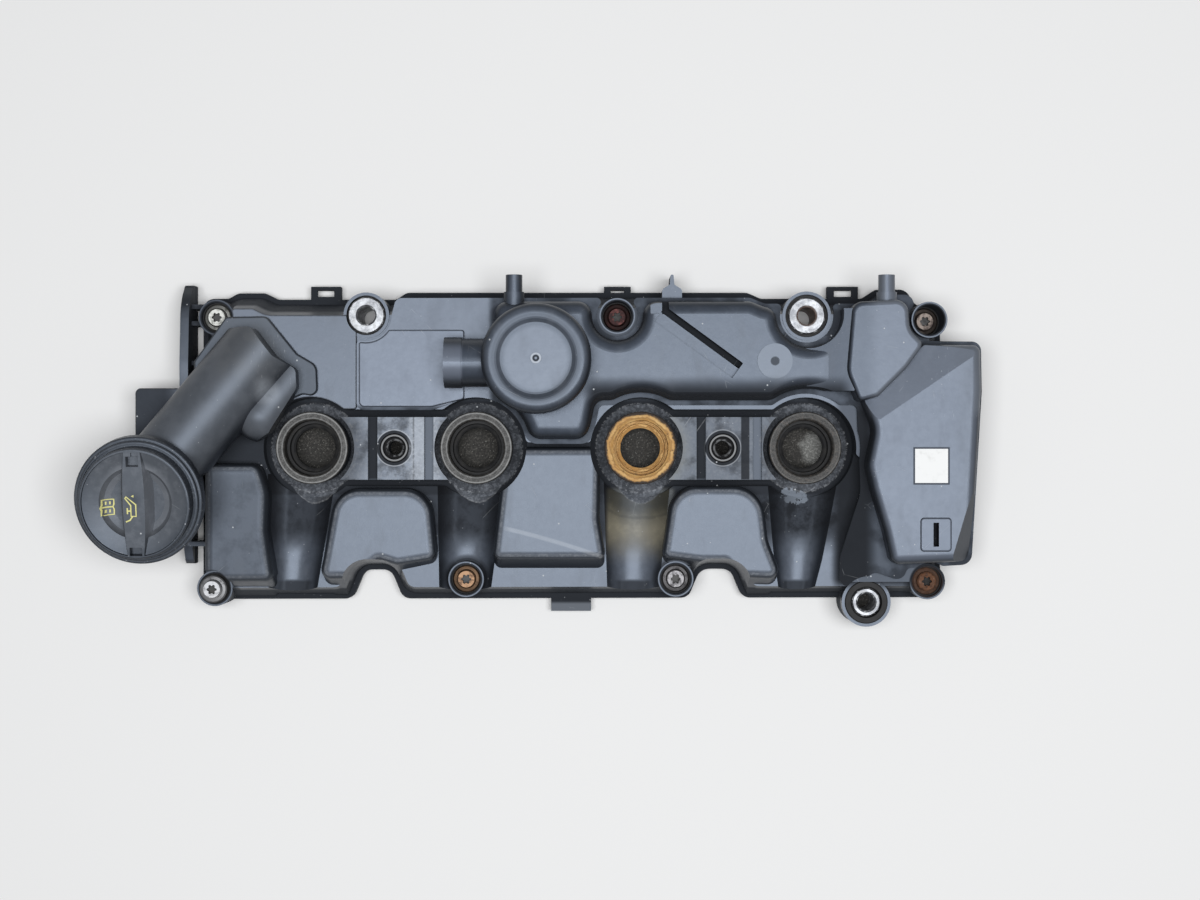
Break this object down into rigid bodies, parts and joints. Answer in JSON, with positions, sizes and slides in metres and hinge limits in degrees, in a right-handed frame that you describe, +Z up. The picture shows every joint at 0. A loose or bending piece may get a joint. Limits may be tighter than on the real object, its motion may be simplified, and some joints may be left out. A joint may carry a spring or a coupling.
{
  "type": "engine valve cover",
  "caption": "Moulded cylinder head cover for a diesel engine, with injector wells, raised filler neck and cap, round breather regulator, side reservoir and captive screws.",
  "frame": {"origin": "middle of the footprint, on the sealing plane under the gasket", "axes": "+X along the injector row away from the filler cap, +Y towards the edge with the breather regulator, +Z up from the cylinder head"},
  "size_m": [0.4738, 0.1888, 0.0882],
  "materials": {
    "cover_plastic": "moulded, dusty",
    "cap_plastic": "moulded, scuffed",
    "seal_rubber": "matt",
    "gasket_rubber": "matt",
    "clamp_rubber": "dusty",
    "well_dark": "oily and dark",
    "well_crust": "crusted orange-brown",
    "spring_steel": "bright",
    "screw_green": "dull greenish",
    "screw_dark": "dark, reddish",
    "screw_silver": "zinc",
    "screw_copper": "yellow zinc, tarnished",
    "screw_rust": "rusty",
    "sleeve_steel": "bright zinc"
  },
  "bodies": {
    "cover": {"cover_base": "cover_plastic", "breather_cover": "cover_plastic", "filler_neck": "cover_plastic", "regulator_lid": "cover_plastic", "regulator_spring": "spring_steel", "perimeter_gasket": "gasket_rubber", "well_collar_1": "well_dark", "well_seal_1": "seal_rubber", "well_collar_2": "well_dark", "well_seal_2": "seal_rubber", "well_collar_3": "well_crust", "well_seal_3": "seal_rubber", "well_collar_4": "well_dark", "well_seal_4": "seal_rubber", "clamp_seal_1": "clamp_rubber", "oil_baffle_1": "cover_plastic", "clamp_seal_2": "clamp_rubber", "oil_baffle_2": "cover_plastic", "cover_screw_1": "screw_green", "screw_grommet_1": "seal_rubber", "cover_screw_2": "screw_dark", "screw_grommet_2": "seal_rubber", "cover_screw_3": "screw_dark", "screw_grommet_3": "seal_rubber", "cover_screw_4": "screw_silver", "screw_grommet_4": "seal_rubber", "cover_screw_5": "screw_copper", "screw_grommet_5": "seal_rubber", "cover_screw_6": "screw_silver", "screw_grommet_6": "seal_rubber", "cover_screw_7": "screw_rust", "screw_grommet_7": "seal_rubber", "mount_sleeve_1": "sleeve_steel", "sleeve_grommet_1": "seal_rubber", "mount_sleeve_2": "sleeve_steel", "sleeve_grommet_2": "seal_rubber", "mount_sleeve_3": "sleeve_steel", "sleeve_grommet_3": "seal_rubber"},
    "cap_carrier": {"cap_seal": "seal_rubber"},
    "cap": {"filler_cap": "cap_plastic"},
    "valve": {"regulator_plate": "cap_plastic", "regulator_diaphragm": "seal_rubber"}
  },
  "joints": [
    {"name": "cap_rise", "type": "slide", "parent": "cover", "child": "cap_carrier", "axis": [-0.0295, -0.1866, 0.982], "range_m": [0, 0.042]},
    {"name": "cap_turn", "type": "hinge", "parent": "cap_carrier", "child": "cap", "pos_m": [-0.20338, -0.02476, 0.07], "axis": [-0.0295, -0.1866, 0.982], "range_deg": [0, 945]},
    {"name": "valve_stroke", "type": "slide", "parent": "cover", "child": "valve", "axis": [0, 0, -1], "range_m": [0, 0.0025], "deforming": ["regulator_diaphragm", "regulator_spring"]}
  ],
  "couplings": [
    {"joint": "cap_rise", "follows": "cap_turn", "m_per_rad": 0.0025465}
  ]
}
